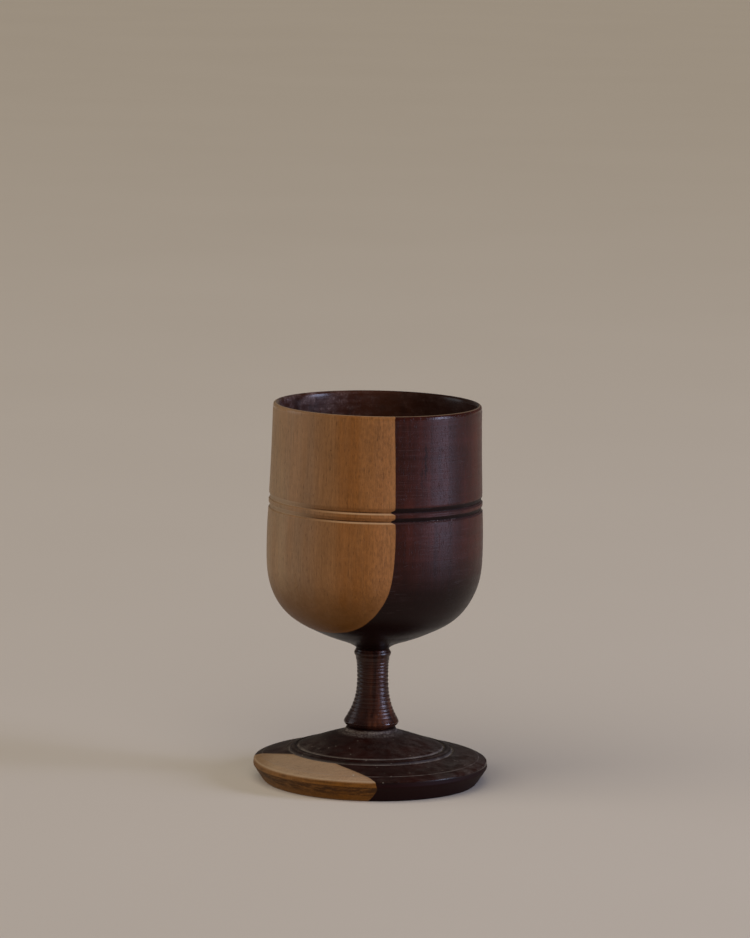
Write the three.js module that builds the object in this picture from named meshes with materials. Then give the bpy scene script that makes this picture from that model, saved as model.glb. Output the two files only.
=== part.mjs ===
// Turned two-tone wooden communion chalice: a deep cup, a slim ringed stem and a
// spreading foot, three separate turnings joined by round tenons glued into blind
// sockets. Millimetres, +Z up, the axis of turning on Z, the foot resting on Z = 0.
import * as THREE from "three";

// ---- driving dimensions -------------------------------------------------
const HEIGHT = 137.6; // foot to the crest of the lip
const RIM_RADIUS = 37.5; // outside of the lip
const LIP_RADIUS = 1.0; // rounded lip, so the wall is 2 mm at the mouth
const BELLY_RADIUS = 38.9; // widest part of the cup
const CUP_RADIUS = 35.5; // inside of the cup
const CUP_FLOOR = 59.8; // height of the inside floor at the axis
const BOWL_BASE = 48.35; // underside of the bowl, where the stem shoulder meets it
const BOWL_BASE_RADIUS = 5.9;

const GROOVE_DEPTH = 0.62; // the pair of turned lines round the cup
const GROOVE_TOP = 103.45;
const GROOVE_LOW = 100.2;

const GAP = 0.3; // clearance at every glued joint
const TOP_TENON_RADIUS = 4.2;
const TOP_TENON_END = 55.3;
const STEM_BASE = 20.0; // shoulder of the stem on the foot
const STEM_BASE_RADIUS = 8.3;
const STEM_FLARE_RADIUS = 9.95;
const STEM_WAIST_RADIUS = 5.7;
const FOOT_TENON_RADIUS = 4.7;
const FOOT_TENON_END = 10.4;

// fine turned lines down the stem: height and depth of each
const STEM_RINGS = [
  [43.88, 0.12],
  [42.77, 0.15],
  [41.67, 0.17],
  [40.57, 0.16],
  [39.1, 0.17],
  [37.64, 0.22],
  [36.17, 0.24],
  [34.54, 0.18],
  [33.09, 0.13],
  [31.83, 0.23],
  [30.42, 0.15],
  [29.01, 0.14],
  [27.46, 0.13],
  [26.26, 0.11],
];

const FOOT_RADIUS = 42.4;
const FOOT_EDGE = 6.05; // height of the widest edge
const FOOT_BASE_RADIUS = 38.2;
const FOOT_SEAT_RADIUS = 9.1; // small raised seat under the stem
const FOOT_GROOVE_IN = 26.5; // the pair of turned lines on the foot
const FOOT_GROOVE_OUT = 29.66;

const BOWL_SEGMENTS = 48;
const STEM_SEGMENTS = 28;
const FOOT_SEGMENTS = 48;

// ---- helpers ------------------------------------------------------------
// A solid of revolution about Z from [radius, height] pairs listed from the axis
// over the top of the section, down its outside and back to the axis.
function turned(name, profile, segments, colour, roughness) {
  const points = profile
    .map(([r, z]) => new THREE.Vector2(Math.max(r, 0), z))
    .reverse();
  const geometry = new THREE.LatheGeometry(points, segments);
  geometry.rotateX(Math.PI / 2);
  const mesh = new THREE.Mesh(
    geometry,
    new THREE.MeshStandardMaterial({ color: colour, roughness, metalness: 0 }),
  );
  mesh.name = name;
  return mesh;
}

// ---- bowl ---------------------------------------------------------------
const LIP_Z = HEIGHT - LIP_RADIUS;
const lip = [];
for (let i = 0; i <= 6; i++) {
  const a = Math.PI - (Math.PI * i) / 6;
  lip.push([
    RIM_RADIUS - LIP_RADIUS + LIP_RADIUS * Math.cos(a),
    LIP_Z + LIP_RADIUS * Math.sin(a),
  ]);
}

const cupInside = [
  [0, CUP_FLOOR],
  [12, CUP_FLOOR + 0.4],
  [20, CUP_FLOOR + 2.0],
  [26, CUP_FLOOR + 4.9],
  [30.5, CUP_FLOOR + 9.1],
  [33.4, CUP_FLOOR + 13.8],
  [34.9, CUP_FLOOR + 19.2],
  [CUP_RADIUS, CUP_FLOOR + 27],
  [CUP_RADIUS, 112],
  [CUP_RADIUS - 0.05, 130],
];

const cupOutside = [
  [37.65, 127],
  [37.9, 117],
  [38.25, 107],
  [38.36, GROOVE_TOP + 1.15],
  [38.4 - GROOVE_DEPTH, GROOVE_TOP],
  [38.43, GROOVE_TOP - 0.75],
  [38.46, (GROOVE_TOP + GROOVE_LOW) / 2],
  [38.47, GROOVE_LOW + 1.3],
  [38.52 - GROOVE_DEPTH, GROOVE_LOW],
  [38.6, GROOVE_LOW - 0.75],
  [38.84, 92],
  [BELLY_RADIUS, 86],
  [38.88, 82],
  [38.65, 78],
  [38.1, 74.4],
  [37.15, 71],
  [35.7, 67.6],
  [33.8, 64.5],
  [31.4, 61.7],
  [28.6, 59.3],
  [24.5, 57.0],
  [19.5, 54.6],
  [14, 52.4],
  [10.2, 51.1],
  [7.6, 49.9],
  [6.3, 49.0],
  [BOWL_BASE_RADIUS, BOWL_BASE],
];

const bowlSocketRadius = TOP_TENON_RADIUS + GAP;
const bowlProfile = [
  ...cupInside,
  ...lip,
  ...cupOutside,
  [bowlSocketRadius, BOWL_BASE],
  [bowlSocketRadius, TOP_TENON_END + GAP],
  [0, TOP_TENON_END + GAP],
];

// ---- stem ---------------------------------------------------------------
// Smooth outline of the shaft, read off at any height.
const shaft = [
  [45.2, 6.12],
  [44.4, 5.97],
  [43.4, 5.84],
  [42.0, 5.75],
  [40, STEM_WAIST_RADIUS],
  [37.5, STEM_WAIST_RADIUS],
  [35.2, 5.76],
  [33.0, 5.93],
  [31.2, 6.22],
  [29.1, 6.75],
  [26.6, 7.68],
  [24.2, 8.85],
];
function shaftRadius(z) {
  for (let i = 1; i < shaft.length; i++) {
    const [z0, r0] = shaft[i - 1];
    const [z1, r1] = shaft[i];
    if (z >= z1) return r0 + ((r1 - r0) * (z0 - z)) / (z0 - z1);
  }
  return shaft[shaft.length - 1][1];
}

const rings = [[shaftRadius(44.5), 44.5]];
STEM_RINGS.forEach(([z, depth], i) => {
  rings.push([shaftRadius(z) - depth, z]);
  const below = i + 1 < STEM_RINGS.length ? STEM_RINGS[i + 1][0] : z - 1.3;
  const crest = (z + below) / 2;
  rings.push([shaftRadius(crest) + 0.04, crest]);
});

const stemTop = BOWL_BASE - GAP;
const stemProfile = [
  [0, TOP_TENON_END],
  [TOP_TENON_RADIUS - 0.5, TOP_TENON_END],
  [TOP_TENON_RADIUS, TOP_TENON_END - 0.5],
  [TOP_TENON_RADIUS, stemTop],
  [6.12, stemTop],
  [6.3, 47.75],
  [6.6, 47.3],
  [6.68, 46.9],
  [6.6, 46.45],
  [6.4, 46.1],
  [6.2, 45.5],
  ...rings,
  [8.95, 24.0],
  [9.75, 22.5],
  [STEM_FLARE_RADIUS, 21.8],
  [9.8, 21.1],
  [9.05, 20.35],
  [STEM_BASE_RADIUS, STEM_BASE],
  [FOOT_TENON_RADIUS, STEM_BASE],
  [FOOT_TENON_RADIUS, FOOT_TENON_END + 0.5],
  [FOOT_TENON_RADIUS - 0.5, FOOT_TENON_END],
  [0, FOOT_TENON_END],
];

// ---- foot ---------------------------------------------------------------
const footSocketRadius = FOOT_TENON_RADIUS + GAP;
const seatZ = STEM_BASE - GAP;
const footProfile = [
  [0, FOOT_TENON_END - GAP],
  [footSocketRadius, FOOT_TENON_END - GAP],
  [footSocketRadius, seatZ],
  [FOOT_SEAT_RADIUS - 0.35, seatZ],
  [FOOT_SEAT_RADIUS, seatZ - 0.35],
  [9.35, 18.75],
  [10.4, 18.2],
  [15, 16.7],
  [20.5, 14.75],
  [FOOT_GROOVE_IN - 0.55, 12.85],
  [FOOT_GROOVE_IN, 12.25],
  [FOOT_GROOVE_IN + 0.5, 12.6],
  [(FOOT_GROOVE_IN + FOOT_GROOVE_OUT) / 2, 12.3],
  [FOOT_GROOVE_OUT - 0.5, 11.7],
  [FOOT_GROOVE_OUT, 11.1],
  [FOOT_GROOVE_OUT + 0.55, 11.25],
  [34.5, 10.3],
  [39.1, 9.3],
  [40.6, 8.62],
  [FOOT_RADIUS - 0.55, 7.8],
  [FOOT_RADIUS - 0.25, 7.1],
  [FOOT_RADIUS, FOOT_EDGE],
  [FOOT_RADIUS - 0.35, 5.15],
  [40.3, 2.6],
  [39.0, 1.1],
  [FOOT_BASE_RADIUS, 0],
  [0, 0],
];

const chalice = new THREE.Group();
chalice.name = "chalice";
chalice.add(
  turned("bowl", bowlProfile, BOWL_SEGMENTS, 0x7a5236, 0.42),
  turned("stem", stemProfile, STEM_SEGMENTS, 0x3a1c15, 0.32),
  turned("foot", footProfile, FOOT_SEGMENTS, 0x352320, 0.55),
);

export default chalice;
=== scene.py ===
# Turned two-tone wooden communion chalice: bowl, stem and foot as high-resolution
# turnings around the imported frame, with procedural sapwood and heartwood.
import math

import bpy
import numpy as np
from mathutils import Matrix, Vector


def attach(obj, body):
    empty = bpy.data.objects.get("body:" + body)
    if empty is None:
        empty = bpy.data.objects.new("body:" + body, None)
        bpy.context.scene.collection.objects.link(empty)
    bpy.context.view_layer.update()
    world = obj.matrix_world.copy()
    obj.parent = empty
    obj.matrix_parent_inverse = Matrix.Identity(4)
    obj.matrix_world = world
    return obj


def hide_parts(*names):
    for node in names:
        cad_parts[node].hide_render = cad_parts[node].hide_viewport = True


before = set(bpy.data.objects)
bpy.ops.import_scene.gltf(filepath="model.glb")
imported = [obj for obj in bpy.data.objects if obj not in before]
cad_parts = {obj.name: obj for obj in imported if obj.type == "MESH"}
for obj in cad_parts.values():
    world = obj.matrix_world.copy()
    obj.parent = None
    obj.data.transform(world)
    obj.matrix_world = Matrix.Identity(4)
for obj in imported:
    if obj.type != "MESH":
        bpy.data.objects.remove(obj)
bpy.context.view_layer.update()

MM = 0.001
scene = bpy.context.scene


# ------------------------------------------------------------------ profiles
def spline(points, step=0.25, closed_ends=True):
    """Centripetal Catmull-Rom through the points, sampled about every `step` mm."""
    p = np.array(points, float)
    p = np.vstack([2 * p[0] - p[1], p, 2 * p[-1] - p[-2]])
    out = [p[1]]
    for i in range(1, len(p) - 2):
        p0, p1, p2, p3 = p[i - 1], p[i], p[i + 1], p[i + 2]
        t0 = 0.0
        t1 = t0 + max(np.linalg.norm(p1 - p0), 1e-6) ** 0.5
        t2 = t1 + max(np.linalg.norm(p2 - p1), 1e-6) ** 0.5
        t3 = t2 + max(np.linalg.norm(p3 - p2), 1e-6) ** 0.5
        n = max(1, int(round(np.linalg.norm(p2 - p1) / step)))
        for k in range(1, n + 1):
            t = t1 + (t2 - t1) * k / n
            a1 = (t1 - t) / (t1 - t0) * p0 + (t - t0) / (t1 - t0) * p1
            a2 = (t2 - t) / (t2 - t1) * p1 + (t - t1) / (t2 - t1) * p2
            a3 = (t3 - t) / (t3 - t2) * p2 + (t - t2) / (t3 - t2) * p3
            b1 = (t2 - t) / (t2 - t0) * a1 + (t - t0) / (t2 - t0) * a2
            b2 = (t3 - t) / (t3 - t1) * a2 + (t - t1) / (t3 - t1) * a3
            out.append((t2 - t) / (t2 - t1) * b1 + (t - t1) / (t2 - t1) * b2)
    return np.array(out)


def refine(profile, windows, step):
    """Adds points where the height or radius lies in a window, so fine cuts have shape."""
    out = [profile[0]]
    for a, b in zip(profile[:-1], profile[1:]):
        mid = (a + b) / 2
        fine = any(lo <= mid[axis] <= hi for axis, lo, hi in windows)
        n = max(1, int(math.ceil(np.linalg.norm(b - a) / step))) if fine else 1
        for k in range(1, n + 1):
            out.append(a + (b - a) * k / n)
    return np.array(out)


def normals(profile):
    d = np.gradient(profile, axis=0)
    d /= np.maximum(np.linalg.norm(d, axis=1, keepdims=True), 1e-9)
    return np.stack([d[:, 1], -d[:, 0]], 1)  # to the left of travel


def cut(profile, axis, centre, half, depth, side, power=1.4):
    """A rounded V cut of that depth, pushed in along the section's normal."""
    u = np.clip(1 - np.abs(profile[:, axis] - centre) / half, 0, 1)
    k = u**power * (1 + 0.25 * np.sin(np.pi * u)) / (1 + 0.0)
    return profile + side * normals(profile) * (k * depth)[:, None]


def lathe(name, sections, segments, wobble=None):
    """A closed solid of revolution. sections: [(Nx2 array of r,z in mm, material index)]
    joined end to end, from the axis round to the axis."""
    pts, mats = [], []
    for prof, mat in sections:
        start = 0 if not pts else 1
        for q in prof[start:]:
            pts.append(q)
            mats.append(mat)
    pts = np.array(pts)
    on_axis = pts[:, 0] < 1e-6
    ang = np.linspace(0, 2 * math.pi, segments, endpoint=False)
    ca, sa = np.cos(ang), np.sin(ang)
    verts, rows = [], []
    for i, (r, z) in enumerate(pts):
        if on_axis[i]:
            rows.append([len(verts)])
            verts.append((0.0, 0.0, z))
            continue
        rr = np.full(segments, r)
        zz = np.full(segments, z)
        dx = dy = 0.0
        if wobble is not None:
            rr, zz, dx, dy = wobble(rr, zz, ang)
        rows.append(list(range(len(verts), len(verts) + segments)))
        for a in range(segments):
            verts.append((rr[a] * ca[a] + dx, rr[a] * sa[a] + dy, zz[a]))
    faces, fm = [], []
    for i in range(len(pts) - 1):
        a, b = rows[i], rows[i + 1]
        if len(a) == 1 and len(b) == 1:
            continue
        for k in range(segments):
            k2 = (k + 1) % segments
            if len(a) == 1:
                faces.append((a[0], b[k2], b[k]))
            elif len(b) == 1:
                faces.append((a[k], a[k2], b[0]))
            else:
                faces.append((a[k], a[k2], b[k2], b[k]))
            fm.append(mats[i + 1])
    v = np.array(verts) * MM
    mesh = bpy.data.meshes.new(name)
    mesh.from_pydata([tuple(q) for q in v], [], faces)
    mesh.polygons.foreach_set("material_index", fm)
    mesh.polygons.foreach_set("use_smooth", [True] * len(faces))
    mesh.update()
    mesh.validate()
    obj = bpy.data.objects.new(name, mesh)
    scene.collection.objects.link(obj)
    # faces outward
    vol = 0.0
    co = v
    for f in faces[:: max(1, len(faces) // 4000)]:
        p = co[list(f)]
        vol += float(np.dot(p[0], np.cross(p[1], p[2])))
    if vol < 0:
        mesh.flip_normals()
    return obj


# ---- bowl
HEIGHT = 137.6
LIP = 1.0
RIM = 37.5
cup_in = [
    (0, 59.9),
    (6, 60.0),
    (12, 60.3),
    (20, 61.9),
    (26, 64.8),
    (30.5, 69.0),
    (33.4, 73.7),
    (34.9, 79.1),
    (35.5, 86.9),
    (35.52, 100),
    (35.5, 115),
    (35.45, 130),
    (35.5, 135.6),
    (35.56, 136.7),
    (35.82, 137.3),
    (36.45, 137.6),
]
cup_lip = [(36.45, 137.6), (37.05, 137.42), (37.4, 136.95), (37.5, 136.3)]
cup_out = [
    (37.5, 136.3),
    (37.52, 134.5),
    (37.57, 131),
    (37.65, 127),
    (37.77, 121.5),
    (37.92, 116.5),
    (38.1, 111.5),
    (38.28, 106.5),
    (38.42, 103.5),
    (38.5, 100.5),
    (38.66, 97),
    (38.84, 92),
    (38.9, 87),
    (38.86, 82.0),
    (38.62, 78),
    (38.1, 74.5),
    (37.2, 71.2),
    (35.85, 67.95),
    (34.05, 64.9),
    (31.8, 62.1),
    (29.2, 59.8),
    (25.6, 57.5),
    (21.6, 55.55),
    (18.2, 54.0),
    (14.0, 52.4),
    (10.6, 51.25),
    (8.6, 50.45),
    (7.0, 49.6),
    (6.2, 49.0),
    (5.95, 48.62),
]
SEAM_TOP = 48.62
GROOVE_A, GROOVE_B = 103.45, 100.2

inside = spline(cup_in, 1.1)
lip = spline(cup_lip, 0.16)
outside = spline(cup_out, 0.8)
outside = refine(outside, [(1, 98.2, 104.9)], 0.09)
outside = refine(outside, [(1, 48.0, 52.5)], 0.25)
for groove, above, below in ((GROOVE_A, 1.7, 0.72), (GROOVE_B, 1.5, 0.72)):
    dz = outside[:, 1] - groove
    u = np.clip(1 - np.abs(dz) / np.where(dz > 0, above, below), 0, 1)
    outside = outside + normals(outside) * (0.74 * u**1.1 * (1.0 + 0.15 * np.sin(np.pi * u)))[:, None]
# the bead between the two cuts is softly rounded
bead = np.exp(-(((outside[:, 1] - 101.9) / 0.5) ** 2))
outside[:, 0] -= bead * 0.03
base_in = np.array([(5.95, 48.62), (5.6, 48.56), (4.5, 48.56)])
socket = np.array([(4.5, 48.56), (4.5, 50.5), (4.5, 55.6), (0.0, 55.6)])


def bowl_wobble(r, z, a):
    # dried a little out of round, and leaning a hair to one side low down
    k = np.clip((z - 52) / 30, 0, 1)
    r2 = r + np.where(r > 20, 1, 0) * k * (0.05 * np.cos(2 * (a - 0.6)))
    low = np.exp(-(((z[0] - 66) / 7.5) ** 2))
    return r2, z, -0.2 * low * (1 if r[0] > 20 else 0), 0.0


bowl = lathe(
    "bowl_turned",
    [(inside, 1), (lip, 0), (outside, 0), (base_in, 0), (socket, 0)],
    288,
    bowl_wobble,
)

# ---- stem
RINGS = [  # height, depth, half width of each turned line
    (45.45, 0.10, 0.5),
    (43.88, 0.13, 0.42),
    (42.77, 0.17, 0.42),
    (41.67, 0.20, 0.42),
    (40.57, 0.18, 0.48),
    (39.10, 0.20, 0.50),
    (37.64, 0.27, 0.50),
    (36.17, 0.28, 0.50),
    (34.54, 0.20, 0.52),
    (33.09, 0.14, 0.45),
    (31.83, 0.27, 0.50),
    (30.42, 0.17, 0.50),
    (29.01, 0.16, 0.50),
    (27.46, 0.15, 0.50),
    (26.26, 0.12, 0.45),
    (25.20, 0.06, 0.40),
    (23.89, 0.07, 0.40),
]
stem_top = [(0, 55.3), (3.7, 55.3), (4.2, 54.8), (4.2, 49.5), (4.2, 48.44)]
stem_shoulder = [(4.2, 48.44), (5.5, 48.44), (5.92, 48.44)]
collar = [
    (5.92, 48.44),
    (6.1, 48.22),
    (6.2, 47.95),
    (6.27, 47.75),
    (6.47, 47.55),
    (6.62, 47.25),
    (6.68, 46.9),
    (6.62, 46.5),
    (6.42, 46.15),
    (6.27, 45.8),
    (6.14, 45.2),
    (5.98, 44.4),
    (5.84, 43.4),
    (5.74, 42.0),
    (5.69, 40),
    (5.69, 37.5),
    (5.76, 35.2),
    (5.93, 33.0),
    (6.22, 31.2),
    (6.70, 29.2),
    (7.38, 27.15),
    (8.28, 25.1),
    (9.1, 23.5),
    (9.68, 22.45),
    (9.94, 21.95),
    (9.97, 21.7),
    (9.82, 21.35),
    (9.45, 20.85),
    (8.9, 20.35),
    (8.45, 20.02),
    (8.3, 19.86),
]
stem_low = [(8.3, 19.86), (6.0, 19.86), (4.7, 19.86)]
stem_tenon = [(4.7, 19.86), (4.7, 14.0), (4.7, 10.9), (4.2, 10.4), (0, 10.4)]
shaft = spline(collar, 0.3)
shaft = refine(shaft, [(1, 23.2, 48.6)], 0.085)
for z0, depth, half in RINGS:
    shaft = cut(shaft, 1, z0, half, depth * 0.85, 1, 1.1)


def stem_wobble(r, z, a):
    t = np.clip((z[0] - 20) / 28, 0, 1)
    return r, z, 0.28 * math.sin(math.pi * t), 0.0


stem = lathe(
    "stem_turned",
    [
        (np.array(stem_top), 0),
        (np.array(stem_shoulder), 0),
        (shaft, 0),
        (np.array(stem_low), 0),
        (np.array(stem_tenon), 0),
    ],
    128,
    stem_wobble,
)

# ---- foot
foot_socket = [(0, 10.1), (5.0, 10.1), (5.0, 15), (5.0, 19.72)]
foot_top = [
    (5.0, 19.72),
    (7.0, 19.74),
    (8.4, 19.72),
    (8.95, 19.55),
    (9.2, 19.2),
    (9.3, 18.85),
    (9.6, 18.5),
    (10.4, 18.17),
    (12.5, 17.5),
    (15, 16.72),
    (18, 15.72),
    (21, 14.68),
    (24, 13.62),
    (26, 12.88),
    (28, 12.28),
    (29.7, 11.58),
    (31, 11.12),
    (33.5, 10.45),
    (36.5, 9.74),
    (39.1, 9.14),
    (40.6, 8.58),
    (41.66, 8.07),
    (42.02, 7.86),
    (42.2, 7.56),
    (42.26, 7.2),
    (42.3, 6.6),
    (42.36, 6.05),
    (42.3, 5.7),
    (42.02, 5.2),
    (41.3, 4.15),
    (40.3, 2.6),
    (39.3, 1.1),
    (38.75, 0.4),
    (38.4, 0.1),
    (38.0, 0.0),
]
foot_base = [(38.0, 0.0), (30, 0.0), (20, 0.0), (10, 0.0), (0, 0.0)]
top = spline(foot_top, 0.5)
top = refine(top, [(0, 25.4, 31.0), (0, 38.5, 39.8)], 0.09)
top = refine(top, [(0, 8.0, 11.0), (0, 41.2, 43)], 0.10)
up = top[:, 1] > 9.3
band = np.exp(-(((top[:, 0] - 28.08) / 1.35) ** 6)) * up
top[:, 1] += band * 0.16
for c, half, depth in ((26.5, 0.75, 0.55), (29.66, 0.75, 0.55), (39.15, 0.3, 0.09)):
    flat = top[:, 1] > 9.2
    moved = cut(top, 0, c, half, depth, 1)
    top = np.where(flat[:, None], moved, top)


def foot_wobble(r, z, a):
    # the foot has dried very slightly out of true
    k = np.clip((r - 20) / 22, 0, 1) * np.clip(z / 6, 0, 1)
    return r, z - 0.12 * k * np.cos(a + 2.6), 0.0, 0.0


foot = lathe(
    "foot_turned",
    [(np.array(foot_socket), 0), (top, 0), (np.array(foot_base), 0)],
    288,
    foot_wobble,
)


# ----------------------------------------------------------------- materials
class Nodes:
    """Small helper that builds a shader node tree."""

    def __init__(self, name):
        self.mat = bpy.data.materials.new(name)
        self.mat.use_nodes = True
        self.nt = self.mat.node_tree
        self.nt.nodes.clear()
        self.out = self.nt.nodes.new("ShaderNodeOutputMaterial")
        self.bsdf = self.nt.nodes.new("ShaderNodeBsdfPrincipled")
        self.nt.links.new(self.bsdf.outputs[0], self.out.inputs[0])
        tc = self.nt.nodes.new("ShaderNodeTexCoord")
        s = self.nt.nodes.new("ShaderNodeVectorMath")
        s.operation = "SCALE"
        self.nt.links.new(tc.outputs["Object"], s.inputs[0])
        s.inputs["Scale"].default_value = 1000.0
        self.P = s.outputs[0]
        sep = self.nt.nodes.new("ShaderNodeSeparateXYZ")
        self.nt.links.new(self.P, sep.inputs[0])
        self.x, self.y, self.z = sep.outputs[0], sep.outputs[1], sep.outputs[2]

    def put(self, socket, value):
        if isinstance(value, bpy.types.NodeSocket):
            self.nt.links.new(value, socket)
        elif value is not None:
            if isinstance(value, (tuple, list)) and len(value) == 3 and len(
                getattr(socket, "default_value", (0, 0, 0))
            ) == 4:
                value = (*value, 1.0)
            socket.default_value = value

    def math(self, op, a, b=None, c=None, clamp=False):
        n = self.nt.nodes.new("ShaderNodeMath")
        n.operation = op
        n.use_clamp = clamp
        self.put(n.inputs[0], a)
        if b is not None:
            self.put(n.inputs[1], b)
        if c is not None:
            self.put(n.inputs[2], c)
        return n.outputs[0]

    def add(self, a, b):
        return self.math("ADD", a, b)

    def sub(self, a, b):
        return self.math("SUBTRACT", a, b)

    def mul(self, a, b):
        return self.math("MULTIPLY", a, b)

    def fma(self, a, b, c):
        return self.math("MULTIPLY_ADD", a, b, c)

    def step(self, v, lo, hi, a=0.0, b=1.0, smooth=True):
        n = self.nt.nodes.new("ShaderNodeMapRange")
        n.interpolation_type = "SMOOTHSTEP" if smooth else "LINEAR"
        n.clamp = True
        self.put(n.inputs["Value"], v)
        self.put(n.inputs["From Min"], lo)
        self.put(n.inputs["From Max"], hi)
        self.put(n.inputs["To Min"], a)
        self.put(n.inputs["To Max"], b)
        return n.outputs[0]

    def stretch(self, sx, sy, sz, off=(0, 0, 0), src=None):
        n = self.nt.nodes.new("ShaderNodeVectorMath")
        n.operation = "MULTIPLY_ADD"
        self.put(n.inputs[0], src or self.P)
        n.inputs[1].default_value = (sx, sy, sz)
        n.inputs[2].default_value = off
        return n.outputs[0]

    def noise(self, vec, scale=1.0, detail=3.0, rough=0.5, distort=0.0):
        n = self.nt.nodes.new("ShaderNodeTexNoise")
        n.noise_dimensions = "3D"
        self.put(n.inputs["Vector"], vec)
        n.inputs["Scale"].default_value = scale
        n.inputs["Detail"].default_value = detail
        n.inputs["Roughness"].default_value = rough
        n.inputs["Distortion"].default_value = distort
        return n.outputs["Fac"]

    def voronoi(self, vec, scale=1.0, feature="F1"):
        n = self.nt.nodes.new("ShaderNodeTexVoronoi")
        n.feature = feature
        self.put(n.inputs["Vector"], vec)
        n.inputs["Scale"].default_value = scale
        return n.outputs["Distance"]

    def combine(self, x, y, z):
        n = self.nt.nodes.new("ShaderNodeCombineXYZ")
        self.put(n.inputs[0], x)
        self.put(n.inputs[1], y)
        self.put(n.inputs[2], z)
        return n.outputs[0]

    def ramp(self, fac, stops, mode="EASE"):
        n = self.nt.nodes.new("ShaderNodeValToRGB")
        n.color_ramp.interpolation = mode
        e = n.color_ramp.elements
        while len(e) > 1:
            e.remove(e[-1])
        e[0].position = stops[0][0]
        e[0].color = (*stops[0][1], 1)
        for pos, col in stops[1:]:
            k = e.new(pos)
            k.color = (*col, 1)
        self.put(n.inputs[0], fac)
        return n.outputs[0]

    def mix(self, fac, a, b, blend="MIX"):
        n = self.nt.nodes.new("ShaderNodeMix")
        n.data_type = "RGBA"
        n.blend_type = blend
        n.clamp_factor = True
        self.put(n.inputs[0], fac)
        self.put(n.inputs[6], a)
        self.put(n.inputs[7], b)
        return n.outputs[2]

    def mixf(self, fac, a, b):
        n = self.nt.nodes.new("ShaderNodeMix")
        n.data_type = "FLOAT"
        n.clamp_factor = True
        self.put(n.inputs[0], fac)
        self.put(n.inputs[2], a)
        self.put(n.inputs[3], b)
        return n.outputs[0]

    def tint(self, colour, value):
        """colour times a number from a socket."""
        n = self.nt.nodes.new("ShaderNodeVectorMath")
        n.operation = "SCALE"
        self.put(n.inputs[0], colour)
        self.put(n.inputs["Scale"], value)
        return n.outputs[0]

    def dist_xy(self):
        return self.math(
            "SQRT", self.add(self.mul(self.x, self.x), self.mul(self.y, self.y))
        )

    def bump(self, height, distance, strength=1.0, normal=None):
        n = self.nt.nodes.new("ShaderNodeBump")
        n.inputs["Strength"].default_value = strength
        n.inputs["Distance"].default_value = distance
        self.put(n.inputs["Height"], height)
        if normal is not None:
            self.put(n.inputs["Normal"], normal)
        return n.outputs[0]

    def finish(self, colour, rough, normal, **fixed):
        self.put(self.bsdf.inputs["Base Color"], colour)
        self.put(self.bsdf.inputs["Roughness"], rough)
        self.put(self.bsdf.inputs["Normal"], normal)
        for k, v in fixed.items():
            self.bsdf.inputs[k.replace("_", " ")].default_value = v
        return self.mat


def curve(m, value, lo, hi, pairs, out_lo, out_hi):
    """A smooth function of a value, as a float curve over lo..hi giving out_lo..out_hi."""
    n = m.nt.nodes.new("ShaderNodeFloatCurve")
    c = n.mapping.curves[0]
    pts = [((a - lo) / (hi - lo), (b - out_lo) / (out_hi - out_lo)) for a, b in pairs]
    c.points[0].location = pts[0]
    c.points[1].location = pts[-1]
    for q in pts[1:-1]:
        c.points.new(*q)
    n.mapping.update()
    m.put(n.inputs["Value"], m.step(value, lo, hi, smooth=False))
    return m.fma(n.outputs[0], out_hi - out_lo, out_lo)


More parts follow.
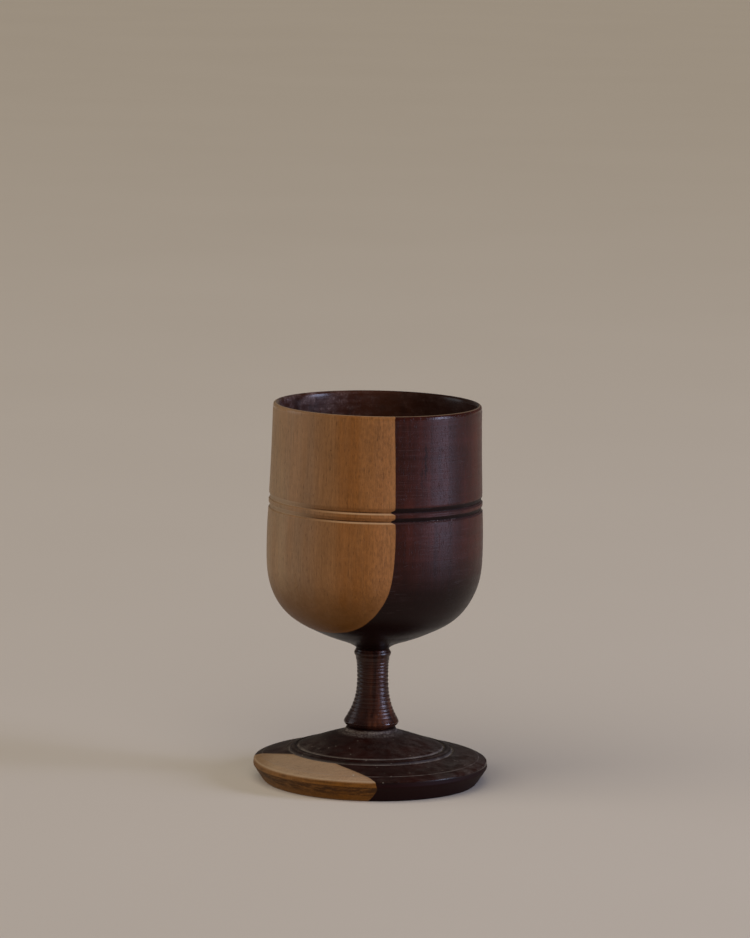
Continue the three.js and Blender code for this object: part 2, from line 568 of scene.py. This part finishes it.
def wood(m, part):
    """Sapwood and heartwood of one blank. Returns the boundary coordinates, sap mask
    and the useful noises."""
    s_raw = m.mul(m.add(m.x, m.y), -0.70711)
    slow = m.noise(m.stretch(0.05, 0.05, 0.012), 1.0, 2.0)
    warp = m.fma(m.sub(slow, 0.5), 5.0, 0.0)
    s = m.add(s_raw, warp)

    edge_n = m.sub(m.noise(m.stretch(0.16, 0.16, 0.035, (7, 3, 1)), 1.0, 3.0), 0.5)
    fine_n = m.sub(m.noise(m.stretch(2.6, 2.6, 0.35, (1, 9, 4)), 1.0, 2.0), 0.5)
    edge = m.add(m.mul(edge_n, 0.55), m.mul(fine_n, 0.22))
    limit = curve(
        m,
        m.z,
        0.0,
        140.0,
        [
            (0, 27.75),
            (3, 27.4),
            (5.5, 27.95),
            (7.2, 28.35),
            (12, 28.3),
            (40, 26.3),
            (57, 24.9),
            (62, 24.75),
            (67, 24.1),
            (73.4, 23.1),
            (79, 22.55),
            (87, 22.0),
            (96, 21.75),
            (106, 21.6),
            (120, 21.55),
            (140, 21.8),
        ],
        20.0,
        30.0,
    )
    if part == "bowl":
        trough = m.math(
            "MAXIMUM",
            m.step(m.math("ABSOLUTE", m.sub(m.z, GROOVE_A + 0.1)), 1.0, 0.1),
            m.step(m.math("ABSOLUTE", m.sub(m.z, GROOVE_B + 0.1)), 1.0, 0.1),
        )
        limit = m.fma(trough, 0.85, limit)
        limit = m.sub(limit, m.step(m.z, 136.5, 137.6, 0.0, 0.45))
    t = m.sub(m.add(s_raw, edge), limit)
    sap = m.step(t, -0.13, 0.13)

    fibre = m.noise(m.stretch(1.8, 1.8, 0.06, (3, 1, 8)), 1.0, 4.0, 0.62)
    fine = m.noise(m.stretch(5.5, 5.5, 0.32, (5, 5, 1)), 1.0, 3.0, 0.6)
    broad = m.noise(m.stretch(0.22, 0.22, 0.02, (2, 8, 3)), 1.0, 2.0)
    mottle = m.noise(m.stretch(1.1, 1.1, 0.55, (7, 4, 9)), 1.0, 3.5, 0.62)
    dash = m.noise(m.stretch(3.4, 3.4, 0.42, (11, 2, 6)), 1.0, 1.5, 0.5)
    pore = m.step(dash, 0.60, 0.72)
    # turning marks: rings that run round the work, a little uneven
    turn = m.noise(m.stretch(0.012, 0.012, 2.4, (4, 4, 4)), 1.0, 4.0, 0.7)
    turn2 = m.noise(m.stretch(0.02, 0.02, 0.5, (9, 1, 7)), 1.0, 2.0, 0.5)
    # fine scuffs, mostly round the work
    scuff_n = m.noise(m.stretch(0.14, 0.14, 5.2, (2, 6, 1)), 1.0, 2.0, 0.55)
    scuff_w = m.noise(m.stretch(0.09, 0.09, 0.12, (8, 8, 2)), 1.0, 2.0)
    scuff = m.mul(m.step(scuff_n, 0.655, 0.70), m.step(scuff_w, 0.52, 0.66))
    # short scratches at a slant
    slant = m.combine(
        m.mul(m.add(m.x, m.mul(m.z, 0.6)), 0.10),
        m.mul(m.y, 0.10),
        m.mul(m.sub(m.z, m.mul(m.x, 0.35)), 4.2),
    )
    scratch = m.mul(
        m.step(m.noise(slant, 1.0, 1.5, 0.5), 0.69, 0.73), m.step(scuff_w, 0.45, 0.3)
    )
    return dict(
        s=s,
        s_raw=s_raw,
        t=t,
        sap=sap,
        fibre=fibre,
        fine=fine,
        broad=broad,
        pore=pore,
        mottle=mottle,
        turn=turn,
        turn2=turn2,
        scuff=scuff,
        scratch=scratch,
    )


def sap_colour(m, w):
    # sapwood tone set by object X across the cup: paler and greyer towards -X, partly weathering and partly a
    # painted sheen from the left; deepest orange mid-way; brighter again towards the boundary
    base = m.ramp(
        m.step(m.x, -39.0, 5.0, smooth=False),
        [
            (0.0, (0.268, 0.178, 0.100)),
            (0.08, (0.252, 0.160, 0.088)),
            (0.22, (0.214, 0.130, 0.073)),
            (0.34, (0.196, 0.109, 0.057)),
            (0.50, (0.202, 0.096, 0.038)),
            (0.66, (0.192, 0.070, 0.0145)),
            (0.82, (0.232, 0.090, 0.023)),
            (0.94, (0.258, 0.106, 0.034)),
            (1.0, (0.262, 0.110, 0.036)),
        ],
    )
    hue = m.step(w["broad"], 0.35, 0.65)
    base = m.mix(m.mul(hue, 0.35), base, (0.235, 0.112, 0.045))
    blotch = m.noise(m.stretch(0.10, 0.10, 0.035, (4, 7, 2)), 1.0, 3.0, 0.5)
    k = m.fma(m.sub(w["fibre"], 0.5), 0.62, 1.0)
    k = m.fma(m.sub(w["fine"], 0.5), 0.55, k)
    k = m.fma(m.sub(w["mottle"], 0.5), m.step(w["t"], 17.0, 3.0, 0.30, 1.05), k)
    k = m.fma(m.sub(blotch, 0.5), 0.40, k)
    k = m.fma(m.sub(w["turn2"], 0.5), 0.10, k)
    k = m.sub(k, m.mul(w["pore"], 0.36))
    return m.tint(base, k)


def heart_colour(m, w):
    streak = m.noise(m.stretch(0.55, 0.55, 0.016, (6, 2, 2)), 1.0, 4.0, 0.6)
    c = m.ramp(
        streak,
        [
            (0.24, (0.026, 0.0056, 0.0038)),
            (0.44, (0.034, 0.0074, 0.0050)),
            (0.58, (0.041, 0.0090, 0.0060)),
            (0.78, (0.054, 0.0122, 0.0080)),
        ],
    )
    red = m.step(m.noise(m.stretch(0.11, 0.11, 0.02, (1, 5, 9)), 1.0, 2.0), 0.42, 0.66)
    c = m.mix(m.mul(red, 0.42), c, (0.074, 0.0150, 0.0088))
    # painted light by object X across the front of the cup: darker below X 17 and round X 28.5 as painted shade,
    # redder beyond X 31 as a painted warm reflection
    c = m.tint(c, m.step(m.math("ABSOLUTE", m.sub(m.x, 28.5)), 4.5, 1.0, 1.0, 0.66))
    c = m.tint(c, m.step(m.x, 9.0, 17.0, 0.78, 1.0))
    c = m.mix(m.step(m.x, 31.0, 37.0, 0.0, 0.35), c, (0.074, 0.0165, 0.0075))
    k = m.fma(m.sub(w["fibre"], 0.5), 0.40, 1.0)
    k = m.fma(m.sub(w["fine"], 0.5), 0.40, k)
    band = m.noise(m.stretch(0.012, 0.012, 0.16, (1, 1, 4)), 1.0, 3.0, 0.6)
    k = m.fma(m.sub(w["turn"], 0.5), 0.6, k)
    k = m.fma(m.sub(w["turn2"], 0.5), 0.7, k)
    k = m.fma(m.sub(band, 0.5), 0.7, k)
    k = m.sub(k, m.mul(w["pore"], 0.30))
    return m.tint(c, k)


def bowl_outside():
    m = Nodes("bowl_wood_outside")
    w = wood(m, "bowl")
    sapc = sap_colour(m, w)
    heart = heart_colour(m, w)
    # long dark grain marks in the heartwood, beside the boundary side of the cup
    for cx, cz, wide, tall, amount in (
        (17.4, 121.5, 0.42, 8.0, 0.75),
        (16.0, 115.5, 0.40, 4.5, 0.55),
        (31.5, 121.0, 0.8, 6.0, 0.35),
        (21.0, 86.0, 0.8, 9.0, 0.30),
        (-30.0, 110.0, 1.2, 14.0, 0.45),
        (10.0, 92.0, 1.0, 12.0, 0.30),
    ):
        wob = m.mul(m.sub(w["mottle"], 0.5), 2.6)
        dx = m.math("ABSOLUTE", m.sub(m.add(m.x, wob), cx))
        dz = m.math("ABSOLUTE", m.sub(m.z, cz))
        k = m.mul(m.step(dx, wide * 1.6, wide * 0.3), m.step(dz, tall, tall * 0.45))
        heart = m.mix(m.mul(k, amount), heart, (0.010, 0.0020, 0.0012))
    # turned lines: the upper face and trough of each are darkened, partly dirt and old wax, partly painted shade;
    # the lower face of each is painted pale, partly rubbed wear, partly a painted highlight
    brk = m.noise(m.stretch(0.25, 0.25, 0.8), 1.0, 3.0)
    trough = upper = lower = None
    for groove, above in ((GROOVE_A, 1.8), (GROOVE_B, 1.6)):
        dz = m.sub(m.z, groove)
        a0 = m.step(m.math("ABSOLUTE", m.sub(dz, 0.06)), 0.34, 0.08)
        b0 = m.mul(m.step(dz, 0.0, 0.2), m.step(dz, above, above - 0.35))
        c0 = m.mul(m.step(dz, -0.12, -0.30), m.step(dz, -0.82, -0.55))
        trough = a0 if trough is None else m.math("MAXIMUM", trough, a0)
        upper = b0 if upper is None else m.math("MAXIMUM", upper, b0)
        lower = c0 if lower is None else m.math("MAXIMUM", lower, c0)
    left = m.step(m.x, -33.0, -14.0, 0.18, 1.0)
    sapc = m.mix(m.mul(m.mul(trough, left), m.step(brk, 0.2, 0.55, 0.35, 0.95)), sapc, (0.052, 0.019, 0.006))
    sapc = m.mix(m.mul(m.mul(upper, left), 0.18), sapc, (0.13, 0.048, 0.008))
    # painted light: on the -X side the lines are filled pale, lifting their shade
    sapc = m.mix(m.mul(m.step(m.x, -20.0, -33.0), m.mul(m.math("MAXIMUM", trough, upper), 0.6)), sapc, (0.36, 0.26, 0.17))
    groove_rub_and_highlight = m.mul(m.mul(lower, m.step(m.x, -27.0, -8.0)), m.step(brk, 0.15, 0.5, 0.55, 0.95))
    sapc = m.mix(m.mul(groove_rub_and_highlight, 0.85), sapc, (0.42, 0.27, 0.15))
    # the heartwood's upper faces and troughs go near black, dirt with painted shade; its lower faces go grey, dust
    # with a painted highlight
    heart = m.mix(m.mul(m.math("MAXIMUM", trough, upper), 0.95), heart, (0.0060, 0.0010, 0.0006))
    heart = m.mix(m.mul(lower, 0.6), heart, (0.052, 0.030, 0.030))
    bits = m.step(m.noise(m.stretch(1.3, 1.3, 2.0, (7, 1, 3)), 1.0, 2.0), 0.62, 0.70)
    bits = m.mul(m.mul(bits, m.step(m.math("ABSOLUTE", m.sub(m.z, GROOVE_B - 0.3)), 0.55, 0.25)), m.mul(m.step(m.x, 8.0, 19.0), m.step(m.x, 30.0, 25.0)))
    heart = m.mix(m.mul(bits, 0.7), heart, (0.27, 0.21, 0.21))
    line = m.math("MAXIMUM", trough, upper)
    # painted shade: the lower cup is darkened towards its underside, in both sapwood and heartwood
    low = m.step(m.z, 81.0, 64.0)
    lown = m.fma(m.sub(m.noise(m.stretch(0.3, 0.3, 0.3, (2, 2, 2)), 1.0, 4.0, 0.6), 0.5), 0.8, 1.0)
    sapc = m.mix(m.mul(m.mul(low, lown), 0.72), sapc, (0.105, 0.040, 0.005))
    heart = m.mix(m.step(m.z, 93.0, 69.0, 0.0, 0.93), heart, (0.0050, 0.0006, 0.0003))
    # a thin warm bleed along the boundary
    bleed = m.mul(m.step(w["t"], 2.4, 0.0), 0.25)
    sapc = m.mix(bleed, sapc, (0.285, 0.125, 0.045))
    # one small dark knot fleck
    fleck = m.nt.nodes.new("ShaderNodeVectorMath")
    fleck.operation = "DISTANCE"
    m.put(fleck.inputs[0], m.P)
    fleck.inputs[1].default_value = (-16.3, -34.4, 124.9)
    sapc = m.mix(m.step(fleck.outputs["Value"], 0.55, 0.2), sapc, (0.05, 0.02, 0.008))
    colour = m.mix(w["sap"], heart, sapc)
    # lip paler along its crest: partly wear, partly a painted highlight and reflection
    rr = m.dist_xy()
    worn_and_highlight = m.mul(
        m.step(m.math("ABSOLUTE", m.sub(rr, 36.68)), 0.36, 0.14),
        m.step(m.noise(m.stretch(0.25, 0.25, 0.5), 1.0, 3.0), 0.2, 0.6, 0.6, 1.0),
    )
    worn_and_highlight = m.mul(worn_and_highlight, m.step(m.z, 136.8, 137.1))
    colour = m.mix(m.mul(worn_and_highlight, m.mixf(w["sap"], 0.55, 0.75)), colour, (0.34, 0.225, 0.130))
    # pale scuffs
    marks = m.math("MAXIMUM", w["scuff"], w["scratch"])
    colour = m.mix(m.mul(marks, 0.13), colour, (0.26, 0.19, 0.17))
    # faint wiping lines round the dark side
    wipe = m.noise(m.stretch(0.05, 0.05, 2.6, (2, 6, 1)), 1.0, 3.0, 0.6)
    where = m.noise(m.stretch(0.10, 0.10, 0.05, (8, 3, 1)), 1.0, 3.0, 0.6)
    wipe = m.mul(m.step(wipe, 0.56, 0.68), m.step(where, 0.46, 0.62))
    wipe = m.mul(m.mul(wipe, m.step(w["sap"], 0.5, 0.1)), m.step(m.z, 66.0, 84.0))
    colour = m.mix(m.mul(wipe, 0.10), colour, (0.22, 0.15, 0.15))
    rough_h = m.fma(m.sub(w["turn2"], 0.5), 0.16, 0.365)
    rough_h = m.fma(m.sub(w["broad"], 0.5), 0.10, rough_h)
    rough_h = m.fma(m.sub(w["mottle"], 0.5), 0.10, rough_h)
    rough_s = m.fma(m.sub(w["fine"], 0.5), 0.16, 0.46)
    rough = m.mixf(w["sap"], rough_h, rough_s)
    rough = m.mixf(m.step(m.z, 135.9, 136.5), rough, 0.15)
    rough = m.mixf(m.mul(line, 0.7), rough, 0.6)
    rough = m.mixf(m.mul(lower, 0.9), rough, 0.15)
    rough = m.fma(wipe, 0.10, rough)
    rough = m.fma(w["pore"], 0.10, rough)
    rough = m.fma(marks, 0.12, rough)
    h = m.mul(w["pore"], -0.55)
    h = m.fma(w["fine"], 0.35, h)
    h = m.fma(w["turn"], 0.6, h)
    h = m.fma(marks, -0.4, h)
    nrm = m.bump(h, 0.00005, 1.0)
    return m.finish(colour, rough, nrm, IOR=1.27)


def bowl_inside():
    m = Nodes("bowl_wood_inside")
    w = wood(m, "bowl")
    heart = heart_colour(m, w)
    heart = m.mix(0.6, heart, (0.046, 0.0160, 0.0075))
    # painted shade: the inside heartwood darkened towards +X, on the wall turned away from the window
    heart = m.mix(m.step(m.x, -4.0, 20.0, 0.0, 0.85), heart, (0.010, 0.0030, 0.0014))
    sapc = m.tint(sap_colour(m, w), 0.62)
    colour = m.mix(w["sap"], heart, sapc)
    blot = m.noise(m.stretch(0.22, 0.22, 0.42, (3, 3, 5)), 1.0, 5.0, 0.62)
    film_and_sheen = m.step(blot, 0.38, 0.66)
    speck = m.step(m.noise(m.stretch(1.1, 1.1, 0.9, (1, 7, 5)), 1.0, 3.0, 0.6), 0.50, 0.66)
    film_and_sheen = m.math("MULTIPLY", film_and_sheen, m.fma(speck, 0.65, 0.35))
    # the pale film is laid thicker on the -X side of the cup: partly a dry film, partly a painted sheen of the
    # window light on that inner wall
    side = m.step(m.x, 4.0, -24.0, 0.12, 1.0)
    film_and_sheen = m.mul(film_and_sheen, side)
    colour = m.mix(m.mul(film_and_sheen, 0.85), colour, (0.185, 0.118, 0.105))
    stain = m.step(m.noise(m.stretch(0.14, 0.14, 0.1, (9, 9, 5)), 1.0, 3.0), 0.52, 0.68)
    colour = m.mix(m.mul(stain, 0.5), colour, (0.012, 0.0048, 0.0034))
    rough = m.fma(film_and_sheen, 0.20, 0.40)
    rough = m.mixf(m.step(m.z, 135.0, 136.3), rough, 0.24)
    h = m.fma(w["turn"], 0.8, m.mul(w["pore"], -0.6))
    h = m.fma(film_and_sheen, 0.3, h)
    h = m.mul(h, m.step(m.z, 136.0, 134.8, 0.15, 1.0))
    nrm = m.bump(h, 0.00008, 1.0)
    return m.finish(colour, rough, nrm, IOR=1.3)


def stem_wood():
    m = Nodes("stem_wood")
    w = wood(m, "stem")
    warm = m.noise(m.stretch(0.5, 0.5, 0.03, (5, 1, 1)), 1.0, 3.0)
    c = m.ramp(
        warm,
        [
            (0.32, (0.012, 0.0030, 0.0018)),
            (0.50, (0.036, 0.0100, 0.0050)),
            (0.68, (0.072, 0.0215, 0.0095)),
        ],
    )
    # painted shade: the stem darkened towards -X, away from the window
    c = m.mix(m.step(m.x, 1.5, -3.5, 0.0, 0.75), c, (0.013, 0.0045, 0.0040))
    k = m.fma(m.sub(w["fibre"], 0.5), 0.45, 1.0)
    k = m.fma(m.sub(w["fine"], 0.5), 0.35, k)
    c = m.tint(c, k)
    rough = m.fma(m.sub(w["fine"], 0.5), 0.18, 0.30)
    rough = m.fma(m.sub(w["turn"], 0.5), 0.12, rough)
    edge = m.step(m.math("ABSOLUTE", m.sub(m.z, 21.9)), 0.9, 0.3)
    rough = m.mixf(edge, rough, 0.13)
    h = m.fma(w["turn"], 0.5, m.mul(w["pore"], -0.5))
    nrm = m.bump(h, 0.00004, 1.0)
    return m.finish(c, rough, nrm, IOR=1.36)


def foot_wood():
    m = Nodes("foot_wood")
    w = wood(m, "foot")
    r = m.dist_xy()
    sapc = sap_colour(m, w)
    # painted shade: the heartwood is darker on the foot's side than on its top, going near black below the widest
    # edge
    heart = m.tint(heart_colour(m, w), m.step(m.z, 7.9, 7.3, 0.40, 0.20))
    heart = m.mix(m.step(m.z, 7.4, 6.6, 0.0, 0.85), heart, (0.0105, 0.0010, 0.0005))
    upper = m.step(m.z, 7.0, 7.8)  # above the widest edge
    # the sapwood of the side is stained brown, with streaks; its lower edge is pale, partly rubbed wear and partly
    # a painted highlight
    side_n = m.noise(m.stretch(0.22, 0.22, 1.1, (3, 3, 2)), 1.0, 4.0, 0.6)
    streaks = m.noise(m.stretch(1.6, 1.6, 0.22, (8, 3, 2)), 1.0, 3.0, 0.6)
    stain = m.mul(m.step(m.z, 6.2, 5.2), m.step(m.z, 0.8, 3.2))
    stain = m.mul(stain, m.step(side_n, 0.30, 0.60))
    stain = m.math("MAXIMUM", stain, m.mul(m.mul(m.step(m.z, 7.5, 6.9), m.step(m.z, 5.6, 6.1)), m.mul(m.step(side_n, 0.42, 0.66), 0.55)))
    # a dark line just under the widest edge, where the side turns in
    under = m.step(m.math("ABSOLUTE", m.sub(m.z, 5.55)), 0.42, 0.12)
    stain = m.math("MAXIMUM", stain, m.mul(under, m.step(streaks, 0.35, 0.6, 0.3, 1.0)))
    side = m.mix(0.75, sapc, (0.138, 0.052, 0.005))
    side = m.mix(m.mul(stain, 0.82), side, (0.030, 0.0115, 0.0035))
    side = m.tint(side, m.fma(m.sub(streaks, 0.5), 0.8, 1.0))
    rubbed_edge_and_highlight = m.step(m.z, 0.9, 0.25)
    side = m.mix(m.mul(rubbed_edge_and_highlight, 0.5), side, (0.24, 0.13, 0.055))
    end_n = m.noise(m.stretch(1.6, 1.6, 1.0, (5, 5, 3)), 1.0, 4.0, 0.65)
    end_s = m.noise(m.stretch(0.12, 0.9, 0.5, (3, 5, 3)), 1.0, 3.0, 0.6)
    top_c = m.mix(0.72, sapc, (0.330, 0.228, 0.140))
    top_k = m.fma(m.sub(end_n, 0.5), 0.75, 1.0)
    top_k = m.fma(m.sub(end_s, 0.5), 0.5, top_k)
    top_c = m.tint(top_c, top_k)
    brown = m.math("MAXIMUM", m.step(m.x, -33.0, -41.0), m.mul(m.step(w["t"], 1.6, 0.2), 0.6))
    top_c = m.mix(m.mul(brown, 0.6), top_c, (0.180, 0.092, 0.036))
    # painted highlight: a pale line along the arris of the foot's edge
    painted_rim_highlight = m.mul(m.step(m.math("ABSOLUTE", m.sub(m.z, 7.82)), 0.26, 0.05), 0.55)
    sapf = m.mix(upper, side, top_c)
    sapf = m.mix(painted_rim_highlight, sapf, (0.36, 0.255, 0.160))
    # dirt in the outer turned line keeps the pale wood outside it
    sap = m.mul(w["sap"], m.step(r, 29.95, 30.25))
    colour = m.mix(sap, heart, sapf)
    # dry dust over the top, thicker towards the stem and in the lines
    d1 = m.noise(m.stretch(0.28, 0.28, 0.28, (4, 9, 1)), 1.0, 4.0, 0.6)
    d2 = m.noise(m.stretch(2.2, 2.2, 2.2, (9, 2, 1)), 1.0, 4.0, 0.65)
    wipe = m.noise(m.stretch(0.10, 0.45, 0.3, (1, 2, 7)), 1.0, 3.0, 0.6)
    dust = m.mul(m.step(d1, 0.30, 0.72), m.step(d2, 0.30, 0.75))
    dust = m.fma(m.step(wipe, 0.4, 0.7), 0.25, dust)
    dust = m.mul(dust, upper)
    # more of it to the right and back, almost none close in at the front: partly real dust, partly a painted grey
    # reflection where the top tilts away from the camera
    dust_and_reflection_weight = m.math("MAXIMUM", m.step(m.add(m.x, m.mul(m.y, 0.7)), -18.0, 24.0, 0.22, 1.0), m.step(m.x, -8.0, -26.0))
    colour = m.mix(m.mul(m.mul(dust, m.mul(dust_and_reflection_weight, m.step(sap, 0.9, 0.1))), 0.75), colour, (0.118, 0.096, 0.080))
    # residue in the turned lines and round the stem; the lines' pale is partly a painted highlight
    brk = m.noise(m.stretch(0.22, 0.22, 0.22, (6, 6, 6)), 1.0, 4.0, 0.6)
    brk2 = m.step(brk, 0.34, 0.60)

    def ring(centre, half, soft):
        return m.step(m.math("ABSOLUTE", m.sub(r, centre)), half + soft, half)

    wander = m.mul(m.sub(d1, 0.5), 0.8)
    line_residue_and_highlight = m.math("MAXIMUM", ring(26.4, 0.26, 0.40), ring(29.62, 0.26, 0.40))
    # painted highlight: the lines' pale strengthens towards +X, on the window side
    line_residue_and_highlight = m.mul(line_residue_and_highlight, m.step(m.x, -10.0, 18.0, 0.62, 1.1))
    rr = m.add(r, m.mul(wander, 1.6))
    seat = m.mul(
        m.step(m.math("ABSOLUTE", m.sub(rr, 10.5)), 2.2, 0.2), m.step(d2, 0.46, 0.60)
    )
    seat = m.math("MAXIMUM", seat, m.mul(ring(9.35, 0.12, 0.25), m.mul(brk2, m.step(d2, 0.3, 0.6))))
    thin = m.mul(ring(39.15, 0.06, 0.16), m.fma(brk2, 0.4, 0.1))
    residue_and_highlight = m.math("MAXIMUM", m.mul(line_residue_and_highlight, m.fma(brk2, 0.45, 0.30)), m.mul(seat, 0.62))
    residue_and_highlight = m.math("MAXIMUM", residue_and_highlight, thin)
    residue_and_highlight = m.mul(residue_and_highlight, upper)
    colour = m.mix(m.mul(residue_and_highlight, 0.85), colour, (0.25, 0.21, 0.18))
    # darkened on both sides of the lines
    dark = m.math("MAXIMUM", ring(27.35, 0.25, 0.5), ring(28.95, 0.15, 0.4))
    dark = m.mul(m.mul(dark, upper), 0.6)
    colour = m.mix(dark, colour, (0.006, 0.0022, 0.0018))
    # a few pale crumbs
    crumbs = None
    for cx, cy, cz, rad in CRUMBS:
        n = m.nt.nodes.new("ShaderNodeVectorMath")
        n.operation = "DISTANCE"
        m.put(n.inputs[0], m.P)
        n.inputs[1].default_value = (cx, cy, cz)
        k = m.step(n.outputs["Value"], rad * 1.15, rad * 0.75)
        crumbs = k if crumbs is None else m.math("MAXIMUM", crumbs, k)
    tiny = m.step(m.voronoi(m.stretch(0.32, 0.32, 0.32, (3, 1, 2)), 1.0), 0.095, 0.055)
    crumbs = m.math("MAXIMUM", crumbs, m.mul(m.mul(tiny, 0.26), upper))
    colour = m.mix(m.mul(crumbs, 0.95), colour, (0.50, 0.43, 0.34))
    rough_h = m.fma(dust, 0.25, 0.40)
    rough_h = m.mixf(m.step(m.z, 8.4, 8.1), rough_h, 0.62)
    rough_h = m.mixf(m.step(m.math("ABSOLUTE", m.sub(m.z, 7.65)), 0.42, 0.25), rough_h, 0.17)
    rough = m.mixf(sap, rough_h, 0.58)
    rough = m.fma(residue_and_highlight, 0.3, rough)
    h = m.mul(w["pore"], -0.5)
    h = m.fma(w["fine"], 0.35, h)
    h = m.fma(d2, 0.35, h)
    h = m.fma(residue_and_highlight, 0.5, h)
    h = m.fma(crumbs, 2.5, h)
    nrm = m.bump(h, 0.00007, 1.0)
    return m.finish(colour, rough, nrm, IOR=1.21)


CRUMBS = [
    (18.4, -15.2, 14.2, 0.42),
    (5.1, -29.3, 11.4, 0.36),
    (25.8, -27.5, 9.9, 0.42),
    (28.2, -27.0, 9.8, 0.34),
    (21.0, -34.0, 9.6, 0.34),
    (-5.9, -37.8, 9.5, 0.42),
]

bowl.data.materials.append(bowl_outside())
bowl.data.materials.append(bowl_inside())
stem.data.materials.append(stem_wood())
foot.data.materials.append(foot_wood())

for obj, node, slot in (
    (bowl, "bowl", "bowl_wood"),
    (stem, "stem", "stem_wood"),
    (foot, "foot", "foot_wood"),
):
    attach(obj, "root")
    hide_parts(node)

# --------------------------------------------------------------------- stage
fm = Nodes("floor_pale")
fn = fm.noise(fm.stretch(0.004, 0.004, 0.004), 1.0, 2.0)
fcol = fm.mix(fn, (0.62, 0.555, 0.48), (0.65, 0.585, 0.51))
fm.put(fm.bsdf.inputs["Base Color"], fcol)
fm.bsdf.inputs["Roughness"].default_value = 0.9
fm.bsdf.inputs["Specular IOR Level"].default_value = 0.1
floor_mesh = bpy.data.meshes.new("floor")
S = 14.0
floor_mesh.from_pydata(
    [(-S, -S, 0), (S, -S, 0), (S, S, 0), (-S, S, 0)], [], [(0, 1, 2, 3)]
)
floor = bpy.data.objects.new("floor", floor_mesh)
scene.collection.objects.link(floor)
floor.data.materials.append(fm.mat)

# ------------------------------------------------------------------- camera
CAM_D, CAM_H, FOCAL = 1778.4, 366.9, 5000.0
PITCH, YAW, ROLL = math.radians(8.102), math.radians(-0.01485), math.radians(1.1804)
fw = Vector(
    (
        math.sin(YAW) * math.cos(PITCH),
        math.cos(YAW) * math.cos(PITCH),
        -math.sin(PITCH),
    )
)
rt = fw.cross(Vector((0, 0, 1))).normalized()
upv = rt.cross(fw)
c, s_ = math.cos(ROLL), math.sin(ROLL)
right = c * rt + s_ * upv
upward = -s_ * rt + c * upv
cam_data = bpy.data.cameras.new("camera")
cam = bpy.data.objects.new("camera", cam_data)
scene.collection.objects.link(cam)
cam.matrix_world = Matrix(
    (
        (right.x, upward.x, -fw.x, 0.0),
        (right.y, upward.y, -fw.y, -CAM_D * MM),
        (right.z, upward.z, -fw.z, CAM_H * MM),
        (0, 0, 0, 1),
    )
)
cam_data.sensor_fit = "VERTICAL"
cam_data.sensor_height = 36.0
cam_data.sensor_width = 36.0 * 750 / 938
cam_data.lens = 36.0 * FOCAL / 938.0
cam_data.clip_start = 0.05
cam_data.clip_end = 60.0
scene.camera = cam


# ------------------------------------------------------------------- lights
def area(name, azimuth, elevation, distance, width, height, power, colour, aim=(0, 0, 0.08)):
    """Azimuth 0 is behind the camera's side (-Y), positive to the right."""
    a, e = math.radians(azimuth), math.radians(elevation)
    pos = Vector(
        (
            math.sin(a) * math.cos(e) * distance,
            -math.cos(a) * math.cos(e) * distance,
            math.sin(e) * distance,
        )
    ) + Vector(aim)
    data = bpy.data.lights.new(name, "AREA")
    data.shape = "RECTANGLE"
    data.size = width
    data.size_y = height
    data.energy = power
    data.color = colour
    o = bpy.data.objects.new(name, data)
    scene.collection.objects.link(o)
    o.location = pos
    o.rotation_euler = (Vector(aim) - pos).to_track_quat("-Z", "Y").to_euler()
    return o


area("window", 75, 12, 2.4, 0.8, 1.2, 45, (0.62, 0.69, 1.0))
area("side_left", -102, 14, 2.6, 1.2, 1.6, 7.5, (0.88, 0.93, 1.0))

sun_data = bpy.data.lights.new("overhead_soft", "SUN")
sun_data.energy = 1.95
sun_data.angle = math.radians(84)
sun_data.color = (1.0, 0.93, 0.83)
sun = bpy.data.objects.new("overhead_soft", sun_data)
scene.collection.objects.link(sun)
sun.visible_glossy = False  # broad overhead skylight, no glint of its own
sa, se = math.radians(-30), math.radians(44)
sun_dir = Vector((math.sin(sa) * math.cos(se), -math.cos(sa) * math.cos(se), math.sin(se)))
sun.rotation_euler = sun_dir.to_track_quat("Z", "Y").to_euler()

world = bpy.data.worlds.new("studio")
scene.world = world
world.use_nodes = True
wn = world.node_tree
bg = wn.nodes["Background"]
bg.inputs[0].default_value = (1.0, 0.92, 0.82, 1)
bg.inputs[1].default_value = 0.09

scene.view_settings.view_transform = "Standard"
scene.view_settings.look = "None"
scene.view_settings.exposure = 0.0
scene.view_settings.gamma = 1.0
